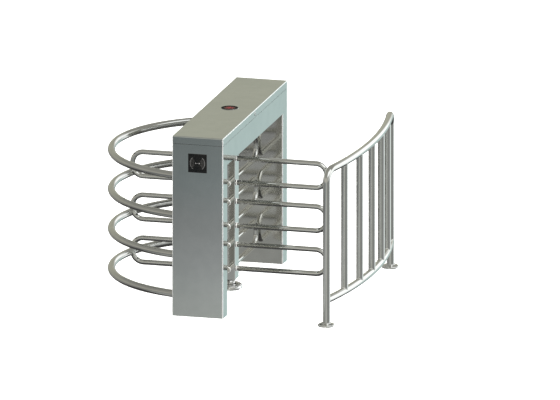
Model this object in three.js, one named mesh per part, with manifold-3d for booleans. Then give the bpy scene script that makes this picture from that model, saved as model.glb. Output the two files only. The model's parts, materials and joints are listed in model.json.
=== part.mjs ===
// Visitor counter turnstile: half-height four-wing rotor under a bridge cabinet, hoop cage and guard rail.
// Millimetres, +Z up, origin on the floor at the rotor axis.
// +X points across the passage to the guard, +Y runs along the cabinet away from the reader.
import * as THREE from "three";
import { mergeVertices } from "three/addons/utils/BufferGeometryUtils.js";
import Module from "manifold-3d";

const wasm = await Module();
wasm.setup();

// Cabinet
const cabinetWidth = 280;
const cabinetLength = 1300;
const cabinetHeight = 984;
const legDepth = 92;
const beamUnderside = 820;
const lidHeight = 42;
const sheet = 2;
const cornerRadius = 4;
const gap = 0.3;
const basePlateThickness = 10;

// Rotor
const columnSide = 80;
const columnWall = 4;
const columnBottom = 56;
const columnTop = 812;
const wingCount = 4;
const armTubeRadius = 14;
const armReach = 532;
const armBend = 58;
const armPitch = 132;
const armHeights = [110, 345, 580];
const shaftRadius = 20;
const shaftNeck = 15;

// Cage of hoops
const hoopRadius = 627;
const hoopTube = 20;
const hoopHeights = [111, 327, 543, 759];

// Guard
const guardHalf = 648;
const guardPostX = 706.5;
const guardSag = 74;
const guardTube = 20;
const guardBarRadius = 19;
const guardTop = 847;
const guardBottom = 142;
const guardCorner = 65;
const guardFootRadius = 45;
const guardFootHeight = 20;
const guardBarCount = 5;
const guardBarPitch = 216;

// Floor bearing
const puckRadius = 66;
const puckHeight = 27;

// Head mechanism
const plateTop = 832;
const plateHalfLength = 235;
const plateHalfWidth = 118;
const bearingTop = 860;
const housingTop = 866;
const shoulder = 868;
const indexBottom = 872;
const indexTop = 882;
const indexRadius = 70;
const notchHalf = 11;
const notchDepth = 12;
const encoderBottom = 898;
const encoderTop = 900;
const encoderRadius = 62;
const shaftTop = 906;
const pawlPivotX = 85;
const pawlPivotY = 90;
const pawlBore = 5.3;
const pawlPinRadius = 5;
const plungerX = 30;
const plungerZ = 877;

// Lid hinge and lock
const hingeHalf = 540;
const hingeRadius = 4;
const hingePin = 2;
const hingeKnuckles = 5;
const lockHeight = 961;
const lockRadius = 9;

// Reader and passage indicator
const readerSide = 102;
const readerHeight = 842;
const indicatorRadius = 47;

const halfWidth = cabinetWidth / 2;
const halfLength = cabinetLength / 2;
const legInner = halfLength - legDepth;
const seam = cabinetHeight - lidHeight;
const guardRadius = (guardHalf ** 2 + guardSag ** 2) / (2 * guardSag);
const guardCentre = guardPostX + guardSag - guardRadius;

const steel = { color: 0xaeb2ae, metalness: 0.9, roughness: 0.28 };
const polished = { color: 0xc6cac7, metalness: 1, roughness: 0.12 };
const machined = { color: 0x8d9092, metalness: 0.85, roughness: 0.4 };
const blackPlastic = { color: 0x14161a, metalness: 0, roughness: 0.35 };
const redLens = { color: 0x8e1420, metalness: 0, roughness: 0.25 };
const copper = { color: 0x9a5a2c, metalness: 0.6, roughness: 0.5 };
const boardGreen = { color: 0x1f5a3a, metalness: 0.1, roughness: 0.6 };

const turnstile = new THREE.Group();
turnstile.name = "visitor_counter_turnstile";

function solid(geometry) {
  const bare = geometry.clone();
  bare.deleteAttribute("normal");
  bare.deleteAttribute("uv");
  const merged = mergeVertices(bare, 1e-4);
  return new wasm.Manifold(
    new wasm.Mesh({
      numProp: 3,
      vertProperties: merged.attributes.position.array,
      triVerts: new Uint32Array(merged.index.array),
    }),
  );
}

function geometryOf(body) {
  const mesh = body.getMesh();
  const geometry = new THREE.BufferGeometry();
  geometry.setAttribute("position", new THREE.BufferAttribute(mesh.vertProperties, 3));
  geometry.setIndex(new THREE.BufferAttribute(mesh.triVerts, 1));
  geometry.computeVertexNormals();
  return geometry;
}

function place(name, body, look) {
  const mesh = new THREE.Mesh(geometryOf(body), new THREE.MeshStandardMaterial(look));
  mesh.name = name;
  turnstile.add(mesh);
}

function box(x0, x1, y0, y1, z0, z1) {
  const geometry = new THREE.BoxGeometry(x1 - x0, y1 - y0, z1 - z0);
  geometry.translate((x0 + x1) / 2, (y0 + y1) / 2, (z0 + z1) / 2);
  return solid(geometry);
}

function cylinderZ(x, y, z0, z1, radius, sides = 32) {
  const geometry = new THREE.CylinderGeometry(radius, radius, z1 - z0, sides);
  geometry.rotateX(Math.PI / 2);
  geometry.translate(x, y, (z0 + z1) / 2);
  return solid(geometry);
}

function cylinderY(x, z, y0, y1, radius, sides = 24) {
  const geometry = new THREE.CylinderGeometry(radius, radius, y1 - y0, sides);
  geometry.translate(x, (y0 + y1) / 2, z);
  return solid(geometry);
}

function cylinderX(y, z, x0, x1, radius, sides = 24) {
  const geometry = new THREE.CylinderGeometry(radius, radius, x1 - x0, sides);
  geometry.rotateZ(Math.PI / 2);
  geometry.translate((x0 + x1) / 2, y, z);
  return solid(geometry);
}

// A turned piece about a vertical axis: profile points are [radius, height].
function turned(x, y, profile, sides = 40) {
  const points = profile.map(([r, z]) => new THREE.Vector2(r, z));
  const geometry = new THREE.LatheGeometry(points, sides);
  geometry.rotateX(Math.PI / 2);
  geometry.translate(x, y, 0);
  return solid(geometry);
}

function roundedRectangle(x0, x1, y0, y1, radius, segments = 3) {
  const shape = new THREE.Shape();
  const corners = [
    [x1 - radius, y0 + radius, -Math.PI / 2],
    [x1 - radius, y1 - radius, 0],
    [x0 + radius, y1 - radius, Math.PI / 2],
    [x0 + radius, y0 + radius, Math.PI],
  ];
  const points = [];
  for (const [cx, cy, start] of corners) {
    for (let k = 0; k <= segments; k++) {
      const angle = start + (k / segments) * (Math.PI / 2);
      points.push(new THREE.Vector2(cx + radius * Math.cos(angle), cy + radius * Math.sin(angle)));
    }
  }
  shape.setFromPoints(points);
  return shape;
}

function prism(shape, z0, z1) {
  const geometry = new THREE.ExtrudeGeometry(shape, {
    depth: z1 - z0,
    bevelEnabled: false,
    steps: 1,
  });
  geometry.translate(0, 0, z0);
  return solid(geometry);
}

function roundedBlock(x0, x1, y0, y1, z0, z1, radius) {
  return prism(roundedRectangle(x0, x1, y0, y1, radius), z0, z1);
}

// The centre line of a bent tube, sampled only at its straight ends and along its bends.
class BentLine extends THREE.Curve {
  constructor(points) {
    super();
    this.points = points;
  }

  getPoint(t, target = new THREE.Vector3()) {
    const last = this.points.length - 1;
    const at = t * last;
    const k = Math.min(Math.floor(at), last - 1);
    return target.lerpVectors(this.points[k], this.points[k + 1], at - k);
  }

  getPointAt(u, target) {
    return this.getPoint(u, target);
  }

  getTangent(t, target = new THREE.Vector3()) {
    const last = this.points.length - 1;
    const k = Math.min(Math.max(Math.round(t * last), 0), last);
    const before = this.points[Math.max(k - 1, 0)];
    const after = this.points[Math.min(k + 1, last)];
    const here = this.points[k];
    const arriving = here.clone().sub(before).normalize();
    const leaving = after.clone().sub(here).normalize();
    return target.copy(arriving.add(leaving)).normalize();
  }

  getTangentAt(u, target) {
    return this.getTangent(u, target);
  }
}

function tube(points, radius, sides = 12) {
  const section = new THREE.Shape();
  const ring = [];
  for (let k = 0; k < sides; k++) {
    const angle = (k / sides) * 2 * Math.PI;
    ring.push(new THREE.Vector2(radius * Math.cos(angle), radius * Math.sin(angle)));
  }
  section.setFromPoints(ring);
  const geometry = new THREE.ExtrudeGeometry(section, {
    steps: points.length - 1,
    bevelEnabled: false,
    extrudePath: new BentLine(points),
  });
  return solid(geometry);
}

function largest(body) {
  return body.decompose().sort((a, b) => b.volume() - a.volume())[0];
}

function rotated(body, degrees) {
  return body.rotate([0, 0, degrees]);
}

// Cabinet legs: folded boxes open at the top, each standing round its anchored base plate.
function leg(side) {
  const outer = side * halfLength;
  const inner = side * legInner;
  const y0 = Math.min(outer, inner);
  const y1 = Math.max(outer, inner);
  let body = roundedBlock(-halfWidth, halfWidth, y0, y1, 0, seam - gap, cornerRadius);
  const hollow = roundedBlock(
    -halfWidth + sheet,
    halfWidth - sheet,
    y0 + sheet,
    y1 - sheet,
    -1,
    seam + 1,
    cornerRadius - sheet,
  );
  body = body.subtract(hollow);
  const cableHole = cylinderY(-60, 880, inner - 5, inner + 5, 18, 16);
  body = body.subtract(cableHole);
  if (side < 0) {
    const half = readerSide / 2 - 5;
    const window = box(-half, half, outer - 5, outer + 5, readerHeight - half, readerHeight + half);
    body = body.subtract(window);
  }
  return body;
}

place("front_leg", leg(-1), steel);
place("rear_leg", leg(1), steel);

function basePlate(side) {
  const y0 = side > 0 ? legInner : -halfLength;
  let body = roundedBlock(
    -halfWidth + sheet + gap,
    halfWidth - sheet - gap,
    y0 + sheet + gap,
    y0 + legDepth - sheet - gap,
    0,
    basePlateThickness,
    cornerRadius,
  );
  for (const x of [-105, 105]) {
    for (const dy of [24, legDepth - 24]) {
      body = body.subtract(cylinderZ(x, y0 + dy, -1, basePlateThickness + 1, 6.5, 12));
    }
  }
  body = body.subtract(cylinderZ(0, y0 + legDepth / 2, -1, basePlateThickness + 1, 22, 20));
  return body;
}

place("front_base_plate", basePlate(-1), machined);
place("rear_base_plate", basePlate(1), machined);

// Bridge between the legs: a trough with an inward lip, cut back on the hinge side.
function beamHousing() {
  const end = legInner - gap;
  let body = box(-halfWidth, halfWidth, -end, end, beamUnderside, seam - gap);
  body = body.subtract(
    box(-halfWidth + sheet, halfWidth - sheet, -end - 1, end + 1, beamUnderside + sheet, seam - gap - sheet),
  );
  const lip = 20;
  body = body.subtract(
    box(-halfWidth - 1, halfWidth - lip, -end - 1, end + 1, seam - gap - sheet - 1, seam + 1),
  );
  const hingeCut = seam - hingeRadius - gap;
  const leftTop = box(-halfWidth, -halfWidth + sheet, -end, end, hingeCut - 5, seam - gap);
  body = body.add(leftTop);
  const relief = hingeHalf + 5;
  body = body.subtract(box(-halfWidth - 1, -halfWidth + sheet + 1, -relief, relief, hingeCut, seam + 1));
  body = body.subtract(box(halfWidth - lip - 1, halfWidth - sheet - 4, 8, 44, seam - 8, seam + 1));
  body = body.subtract(cylinderZ(0, 0, beamUnderside - 1, beamUnderside + sheet + 1, 24));
  return body;
}

place("beam_housing", beamHousing(), steel);

// Head plate that carries the bearing, the locks and the sensor.
function mountingPlate() {
  let body = box(
    -plateHalfWidth,
    plateHalfWidth,
    -plateHalfLength,
    plateHalfLength,
    beamUnderside + sheet + gap,
    plateTop,
  );
  body = body.subtract(cylinderZ(0, 0, beamUnderside, plateTop + 1, 24, 28));
  for (const x of [-104, 104]) {
    for (const y of [-218, 0, 218]) {
      body = body.subtract(cylinderZ(x, y, beamUnderside, plateTop + 1, 4.5, 8));
    }
  }
  return body;
}

place("mounting_plate", mountingPlate(), machined);

function upperBearingHousing() {
  const z0 = plateTop + gap;
  let body = roundedBlock(-54, 54, -54, 54, z0, 842, 10);
  body = body.add(cylinderZ(0, 0, z0, housingTop, 43, 28));
  body = body.subtract(cylinderZ(0, 0, z0 - 1, housingTop + 1, 24, 28));
  body = body.subtract(cylinderZ(0, 0, 836, housingTop + 1, 32.3, 28));
  for (const x of [-43, 43]) {
    for (const y of [-43, 43]) {
      body = body.subtract(cylinderZ(x, y, z0 - 1, 843, 4.5, 8));
    }
  }
  return body;
}

place("upper_bearing_housing", upperBearingHousing(), machined);

function ring(x, y, z0, z1, inner, outer) {
  const profile = [
    [inner, z0],
    [outer, z0],
    [outer, z1],
    [inner, z1],
    [inner, z0],
  ];
  return turned(x, y, profile, 28);
}

place("upper_bearing", ring(0, 0, 836 + gap, bearingTop, shaftRadius + gap, 31.9), polished);

// Floor bearing: a turned puck with a socket for the foot spindle.
const puckProfile = [
  [0, 0],
  [puckRadius, 0],
  [puckRadius, puckHeight - 5],
  [puckRadius - 4, puckHeight],
  [36, puckHeight],
  [36, 7],
  [0, 7],
];
place("floor_bearing_base", turned(0, 0, puckProfile, 36), polished);
place("floor_bearing", ring(0, 0, 7 + gap, 23, 22 + gap, 36 - gap), machined);

// Cage hoops end flush on the cabinet side.
function hoop(height) {
  const end = Math.acos(-halfWidth / hoopRadius) - 0.04;
  const steps = 20;
  const points = [];
  for (let k = 0; k <= steps; k++) {
    const angle = end + ((2 * Math.PI - 2 * end) * k) / steps;
    points.push(
      new THREE.Vector3(hoopRadius * Math.cos(angle), hoopRadius * Math.sin(angle), height),
    );
  }
  const reach = cabinetLength;
  return tube(points, hoopTube, 10).subtract(
    box(-halfWidth - gap, halfWidth, -reach, reach, height - 40, height + 40),
  );
}

hoopHeights.forEach((height, k) => place("hoop_" + (k + 1), hoop(height), steel));

// Guard: two posts and the top rail are one bent tube; the rail bows away from the rotor.
function guardX(y) {
  return guardCentre + Math.sqrt(guardRadius ** 2 - y ** 2);
}

function guardRail(height, from, to, steps) {
  const points = [];
  for (let k = 0; k <= steps; k++) {
    const y = from + ((to - from) * k) / steps;
    points.push(new THREE.Vector3(guardX(y), y, height));
  }
  return points;
}

function guardCornerPoints(side) {
  const points = [];
  const steps = 4;
  for (let k = 0; k < steps; k++) {
    const angle = (k / steps) * (Math.PI / 2);
    const y = side * (guardHalf - guardCorner + guardCorner * Math.cos(angle));
    const z = guardTop - guardCorner + guardCorner * Math.sin(angle);
    points.push(new THREE.Vector3(guardX(y), y, z));
  }
  return points;
}

const postFoot = 4 + gap;
const postX = guardX(guardHalf);
const guardLine = [
  new THREE.Vector3(postX, -guardHalf, postFoot),
  ...guardCornerPoints(-1),
  ...guardRail(guardTop, -guardHalf + guardCorner, guardHalf - guardCorner, 10),
  ...guardCornerPoints(1).reverse(),
  new THREE.Vector3(postX, guardHalf, postFoot),
];
place("guard_frame", tube(guardLine, guardTube, 12), steel);

const frameClearance = tube(guardLine, guardTube + 3 * gap, 12);
const bottomLine = guardRail(guardBottom, -guardHalf, guardHalf, 12);
const betweenPosts = box(postX - 60, postX + 160, -guardHalf, guardHalf, 0, 300);
const bottomRail = tube(bottomLine, guardTube, 12).intersect(betweenPosts).subtract(frameClearance);
place("guard_bottom_rail", largest(bottomRail), steel);

const bottomClearance = tube(bottomLine, guardTube + 3 * gap, 12);
for (let k = 0; k < guardBarCount; k++) {
  const y = (k - (guardBarCount - 1) / 2) * guardBarPitch;
  const bar = cylinderZ(guardX(y), y, guardBottom, guardTop, guardBarRadius, 12)
    .subtract(frameClearance)
    .subtract(bottomClearance);
  place("guard_bar_" + (k + 1), largest(bar), steel);
}

const footProfile = [
  [0, 0],
  [guardFootRadius, 0],
  [guardFootRadius, 9],
  [guardFootRadius - 12, guardFootHeight],
  [guardTube + gap, guardFootHeight],
  [guardTube + gap, 4],
  [0, 4],
];

place("guard_foot_front", turned(postX, -guardHalf, footProfile, 24), polished);
place("guard_foot_rear", turned(postX, guardHalf, footProfile, 24), polished);

// Card reader: a dark window let into the front leg with its module behind.
function readerWindow() {
  const half = readerSide / 2;
  const plug = half - 5 - gap;
  const lip = box(
    -half,
    half,
    -halfLength - 2.5,
    -halfLength - gap,
    readerHeight - half,
    readerHeight + half,
  );
  const back = box(
    -plug,
    plug,
    -halfLength - gap - 0.5,
    -halfLength + sheet + 1,
    readerHeight - plug,
    readerHeight + plug,
  );
  return lip.add(back);
}

place("reader_window", readerWindow(), blackPlastic);
const moduleFront = -halfLength + sheet + 1 + gap;
place(
  "reader_module",
  box(-40, 40, moduleFront, moduleFront + 24, readerHeight - 40, readerHeight + 40).add(
    box(-14, 14, moduleFront + 24, moduleFront + 32, readerHeight - 30, readerHeight - 16),
  ),
  blackPlastic,
);

// Electronics in the bridge.
function controlBoard() {
  const z0 = beamUnderside + sheet + gap;
  let body = box(-62, 62, -450, -270, 832, 834);
  for (const x of [-54, 54]) {
    for (const y of [-442, -278]) {
      body = body.add(cylinderZ(x, y, z0, 833, 4, 12));
    }
  }
  for (const y of [-436, -400, -364]) {
    body = body.add(box(34, 60, y, y + 28, 833, 846));
  }
  body = body.add(box(-30, 4, -380, -346, 833, 838));
  body = body.add(cylinderZ(-44, -400, 833, 850, 8, 16));
  body = body.add(cylinderZ(-44, -420, 833, 850, 8, 16));
  body = body.add(box(-58, -20, -330, -296, 833, 852));
  return body;
}

place("control_board", controlBoard(), boardGreen);

function powerSupply() {
  const z0 = beamUnderside + sheet + gap;
  let body = box(-52, 52, 270, 440, z0, 862);
  body = body.subtract(box(-44, 44, 262, 292, 842, 870));
  for (let k = 0; k < 6; k++) {
    const y = 312 + k * 20;
    body = body.subtract(box(-40, 40, y, y + 8, 859, 870));
  }
  return body;
}

place("power_supply", powerSupply(), machined);

function passCounter() {
  const z0 = plateTop + gap;
  let body = box(-106, -58, -226, -186, z0, 866);
  body = body.subtract(box(-101, -63, -214, -198, 864, 870));
  body = body.add(cylinderX(-206, 848, -58.5, -50, 5, 16));
  return body;
}

place("pass_counter", passCounter(), blackPlastic);

// Fork sensor that reads the slots of the encoder disc.
function opticalSensor() {
  let body = box(-94, -76, -13, 13, plateTop + gap, 912);
  body = body.add(box(-77, -54, -9, 9, 887, 912));
  body = body.subtract(box(-79, -53, -10, 10, 895, 903));
  return body;
}

place("optical_sensor", opticalSensor(), blackPlastic);

// Locks: each pawl turns on a shouldered pin and is pushed by a solenoid plunger.
function mirroredPair(name, make, look) {
  place(name + "_a", make(), look);
  place(name + "_b", make().mirror([0, 1, 0]), look);
}

function pawlPin() {
  const shoulderTop = indexBottom - gap;
  return cylinderZ(pawlPivotX, pawlPivotY, plateTop + gap, shoulderTop, 9, 14)
    .add(cylinderZ(pawlPivotX, pawlPivotY, shoulderTop - 1, 892, pawlPinRadius, 14))
    .add(cylinderZ(pawlPivotX, pawlPivotY, indexTop + gap, indexTop + 4, 8, 14));
}

mirroredPair("pawl_pin", pawlPin, polished);

function pawl() {
  const z0 = indexBottom;
  const z1 = indexTop;
  let body = cylinderZ(pawlPivotX, pawlPivotY, z0, z1, 11, 16);
  body = body.add(box(-8, pawlPivotX, pawlPivotY - 6, pawlPivotY + 6, z0, z1));
  body = body.add(box(-5, 5, indexRadius + 2, pawlPivotY, z0, z1));
  body = body.subtract(cylinderZ(pawlPivotX, pawlPivotY, z0 - 1, z1 + 1, pawlBore, 14));
  return body;
}

mirroredPair("pawl", pawl, machined);

const coilStart = 112;
const coilEnd = 172;

function solenoid() {
  const z0 = plateTop + gap;
  let body = box(plungerX - 20, plungerX + 20, coilStart, coilEnd, z0, 838);
  body = body.add(box(plungerX - 20, plungerX + 20, coilStart, coilStart + 5, z0, 900));
  body = body.add(box(plungerX - 20, plungerX + 20, coilEnd - 5, coilEnd, z0, 900));
  body = body.add(cylinderY(plungerX, plungerZ, coilStart + 4, coilEnd - 4, 19, 20));
  body = body.subtract(cylinderY(plungerX, plungerZ, coilStart - 1, coilEnd - 12, 6 + gap, 14));
  return body;
}

mirroredPair("solenoid", solenoid, copper);

function plunger() {
  const tip = pawlPivotY + 6 + gap;
  return cylinderY(plungerX, plungerZ, tip, coilEnd - 22, 6, 14)
    .add(cylinderY(plungerX, plungerZ, tip + 2, tip + 4, 9, 14));
}

mirroredPair("plunger", plunger, polished);

// Rotor column with its end fittings.
function rotorColumn() {
  const half = columnSide / 2;
  const inner = half - columnWall;
  const outside = roundedBlock(-half, half, -half, half, columnBottom, columnTop, 5);
  const hollow = roundedBlock(-inner, inner, -inner, inner, columnBottom - 1, columnTop + 1, 2);
  return outside.subtract(hollow);
}

place("rotor_column", rotorColumn(), polished);

const plugHalf = columnSide / 2 - columnWall - gap;

function rotorShaft() {
  return roundedBlock(-plugHalf, plugHalf, -plugHalf, plugHalf, 790, columnTop - 2, 2)
    .add(cylinderZ(0, 0, 800, shoulder, shaftRadius, 28))
    .add(cylinderZ(0, 0, shoulder - 1, shaftTop, shaftNeck, 24));
}

place("rotor_shaft", rotorShaft(), machined);

function footSpindle() {
  return roundedBlock(-plugHalf, plugHalf, -plugHalf, plugHalf, columnBottom, columnBottom + 14, 2)
    .add(cylinderZ(0, 0, puckHeight + 3, columnBottom + 1, 30, 28))
    .add(cylinderZ(0, 0, 7 + gap, puckHeight + 4, 22, 28));
}

place("foot_spindle", footSpindle(), polished);

// Index disc: one notch for each resting place of the wings.
function indexDisc() {
  let body = cylinderZ(0, 0, indexBottom, indexTop, indexRadius, 48);
  body = body.add(cylinderZ(0, 0, shoulder + gap, indexBottom + 1, 26, 20));
  for (let k = 0; k < wingCount; k++) {
    const notch = box(
      -notchHalf,
      notchHalf,
      indexRadius - notchDepth,
      indexRadius + 5,
      indexBottom - 1,
      indexTop + 1,
    );
    const window = cylinderZ(42, 0, indexBottom - 1, indexTop + 1, 9, 10);
    body = body.subtract(rotated(notch, (360 / wingCount) * k));
    body = body.subtract(rotated(window, (360 / wingCount) * (k + 0.5)));
  }
  return body.subtract(cylinderZ(0, 0, shoulder, indexTop + 1, shaftNeck + gap, 24));
}

place("index_disc", indexDisc(), machined);

function encoderDisc() {
  let body = cylinderZ(0, 0, encoderBottom, encoderTop, encoderRadius, 36);
  body = body.add(cylinderZ(0, 0, indexTop + gap, encoderBottom + 1, 22, 20));
  const slots = 12;
  for (let k = 0; k < slots; k++) {
    const slot = box(50, 58, -5, 5, encoderBottom - 1, encoderTop + 1);
    body = body.subtract(rotated(slot, (360 / slots) * (k + 0.5)));
  }
  return body.subtract(cylinderZ(0, 0, indexTop, encoderTop + 1, shaftNeck + gap, 24));
}

place("encoder_disc", encoderDisc(), blackPlastic);

// Wing arms: each is one tube bent into a hairpin whose two ends meet a column face.
function armLine(low) {
  const high = low + armPitch;
  const steps = 4;
  const start = columnSide / 2 + gap;
  const points = [new THREE.Vector3(start, 0, high)];
  for (let k = 0; k <= steps; k++) {
    const angle = Math.PI / 2 - (k / steps) * (Math.PI / 2);
    points.push(
      new THREE.Vector3(
        armReach - armBend + armBend * Math.cos(angle),
        0,
        high - armBend + armBend * Math.sin(angle),
      ),
    );
  }
  for (let k = 0; k <= steps; k++) {
    const angle = -(k / steps) * (Math.PI / 2);
    points.push(
      new THREE.Vector3(
        armReach - armBend + armBend * Math.cos(angle),
        0,
        low + armBend + armBend * Math.sin(angle),
      ),
    );
  }
  points.push(new THREE.Vector3(start, 0, low));
  return points;
}

const armLevels = ["low", "mid", "top"];
for (let wing = 0; wing < wingCount; wing++) {
  armHeights.forEach((low, k) => {
    const arm = rotated(tube(armLine(low), armTubeRadius, 10), (360 / wingCount) * wing);
    place("wing_" + (wing + 1) + "_" + armLevels[k], arm, steel);
  });
}

// Lid hinge: alternate knuckles on the bridge leaf and on the lid, along the cage side.
const knuckleLength = (2 * hingeHalf) / hingeKnuckles;

function knuckles(first, outer, z) {
  let body = null;
  for (let k = first; k < hingeKnuckles; k += 2) {
    const y0 = -hingeHalf + k * knuckleLength + gap;
    const y1 = y0 + knuckleLength - 2 * gap;
    const knuckle = cylinderY(-halfWidth, z, y0, y1, outer, 10);
    body = body ? body.add(knuckle) : knuckle;
  }
  return body;
}

function lidHinge() {
  const leafOut = -halfWidth + sheet + gap;
  const leafIn = leafOut + 1.5;
  let body = box(leafOut, leafIn, -hingeHalf, hingeHalf, seam - 26, seam - hingeRadius - 2);
  body = body.add(cylinderY(-halfWidth, seam, -hingeHalf, hingeHalf, hingePin, 10));
  body = body.add(knuckles(0, hingeRadius, seam));
  for (let k = 0; k < hingeKnuckles; k += 2) {
    const y0 = -hingeHalf + k * knuckleLength + gap;
    const y1 = y0 + knuckleLength - 2 * gap;
    body = body.add(box(leafOut, leafIn, y0, y1, seam - hingeRadius - 3, seam));
  }
  return body;
}

place("lid_hinge", lidHinge(), machined);

// Lid: a shallow cap over the bridge and both legs.
function lidCover() {
  let body = roundedBlock(
    -halfWidth,
    halfWidth,
    -halfLength,
    halfLength,
    seam,
    cabinetHeight,
    cornerRadius,
  );
  body = body.subtract(
    roundedBlock(
      -halfWidth + sheet,
      halfWidth - sheet,
      -halfLength + sheet,
      halfLength - sheet,
      seam - 1,
      cabinetHeight - sheet,
      cornerRadius - sheet,
    ),
  );
  const relief = hingeHalf + 5;
  body = body.subtract(
    box(
      -halfWidth - 1,
      -halfWidth + sheet + 0.5,
      -relief,
      relief,
      seam - 1,
      seam + hingeRadius + gap,
    ),
  );
  const straps = knuckles(1, hingeRadius, seam).subtract(
    cylinderY(-halfWidth, seam, -hingeHalf, hingeHalf, hingePin + 2 * gap, 10),
  );
  body = body.add(straps);
  for (let k = 1; k < hingeKnuckles; k += 2) {
    const y0 = -hingeHalf + k * knuckleLength + gap;
    const y1 = y0 + knuckleLength - 2 * gap;
    body = body.add(
      box(-halfWidth + 0.2, -halfWidth + sheet, y0, y1, seam + 3, seam + hingeRadius + 2),
    );
  }
  body = body.subtract(cylinderZ(0, 0, seam, cabinetHeight + 1, 40, 32));
  body = body.subtract(cylinderX(0, lockHeight, halfWidth - 5, halfWidth + 5, lockRadius + gap, 24));
  return body;
}

place("lid_cover", lidCover(), steel);

const bezelProfile = [
  [36, cabinetHeight - 14],
  [40 - gap, cabinetHeight - 14],
  [40 - gap, cabinetHeight + gap],
  [indicatorRadius, cabinetHeight + gap],
  [indicatorRadius - 1, cabinetHeight + 3],
  [38, cabinetHeight + 3],
  [36, cabinetHeight + 1.5],
  [36, cabinetHeight - 14],
];
place("indicator_bezel", turned(0, 0, bezelProfile, 32), blackPlastic);
const lensProfile = [
  [0, cabinetHeight - 12],
  [36 - gap, cabinetHeight - 12],
  [36 - gap, cabinetHeight + 1],
  [0, cabinetHeight + 1],
];
place("indicator_lens", turned(0, 0, lensProfile, 32), redLens);

// Cam lock in the lid skirt: the cam swings down behind the lip of the bridge.
function lockBarrel() {
  return cylinderX(0, lockHeight, halfWidth - 24, halfWidth + 0.5, lockRadius, 18)
    .add(cylinderX(0, lockHeight, halfWidth + gap, halfWidth + 2, lockRadius + 2, 18))
    .subtract(cylinderX(0, lockHeight, halfWidth - 30, halfWidth + 5, 5.3, 14));
}

place("lock_barrel", lockBarrel(), polished);

function lockPlug() {
  const camBack = halfWidth - 27;
  const camFront = halfWidth - 24 - gap;
  return cylinderX(0, lockHeight, camBack, halfWidth + 1.6, 5, 14)
    .subtract(box(halfWidth - 3, halfWidth + 5, -3.5, 3.5, lockHeight - 0.6, lockHeight + 0.6))
    .add(box(camBack, camFront, -5, 31, lockHeight - 5, lockHeight + 5))
    .add(box(camBack, halfWidth - 16, 27, 31, lockHeight - 5, lockHeight + 5));
}

place("lock_plug", lockPlug(), machined);

export default turnstile;
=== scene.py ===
import json
import math

import bmesh
import bpy
from mathutils import Matrix, Vector


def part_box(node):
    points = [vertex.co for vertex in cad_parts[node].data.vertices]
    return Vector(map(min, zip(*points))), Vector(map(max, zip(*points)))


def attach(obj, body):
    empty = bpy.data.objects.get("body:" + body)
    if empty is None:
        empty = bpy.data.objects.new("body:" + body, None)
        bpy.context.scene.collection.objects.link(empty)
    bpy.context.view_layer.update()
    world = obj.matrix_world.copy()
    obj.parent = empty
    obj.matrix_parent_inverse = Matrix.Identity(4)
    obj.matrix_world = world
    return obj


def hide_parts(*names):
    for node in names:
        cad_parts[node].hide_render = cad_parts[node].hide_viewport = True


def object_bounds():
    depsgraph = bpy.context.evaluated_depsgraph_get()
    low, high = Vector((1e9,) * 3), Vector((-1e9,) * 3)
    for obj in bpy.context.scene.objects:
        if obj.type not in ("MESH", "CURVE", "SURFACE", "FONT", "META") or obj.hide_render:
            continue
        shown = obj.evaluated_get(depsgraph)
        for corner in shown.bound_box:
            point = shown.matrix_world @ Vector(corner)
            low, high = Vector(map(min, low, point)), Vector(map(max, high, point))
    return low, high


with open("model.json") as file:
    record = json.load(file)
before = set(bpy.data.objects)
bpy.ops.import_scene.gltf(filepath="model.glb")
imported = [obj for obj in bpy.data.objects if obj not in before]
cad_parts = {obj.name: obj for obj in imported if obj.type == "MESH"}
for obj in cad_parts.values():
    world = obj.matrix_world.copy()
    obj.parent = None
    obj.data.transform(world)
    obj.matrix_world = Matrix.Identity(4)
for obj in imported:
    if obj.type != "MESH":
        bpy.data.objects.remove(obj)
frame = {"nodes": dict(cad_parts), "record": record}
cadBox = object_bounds()
print("frame loaded:", len(frame["nodes"]), "nodes")

mm = 0.001
upward = Vector((0, 0, 1))
outward = Vector((1, 0, 0))  # from the cabinet towards the guard
along = Vector((0, 1, 0))  # along the cabinet, away from the reader
turnstileScene = bpy.context.scene


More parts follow.
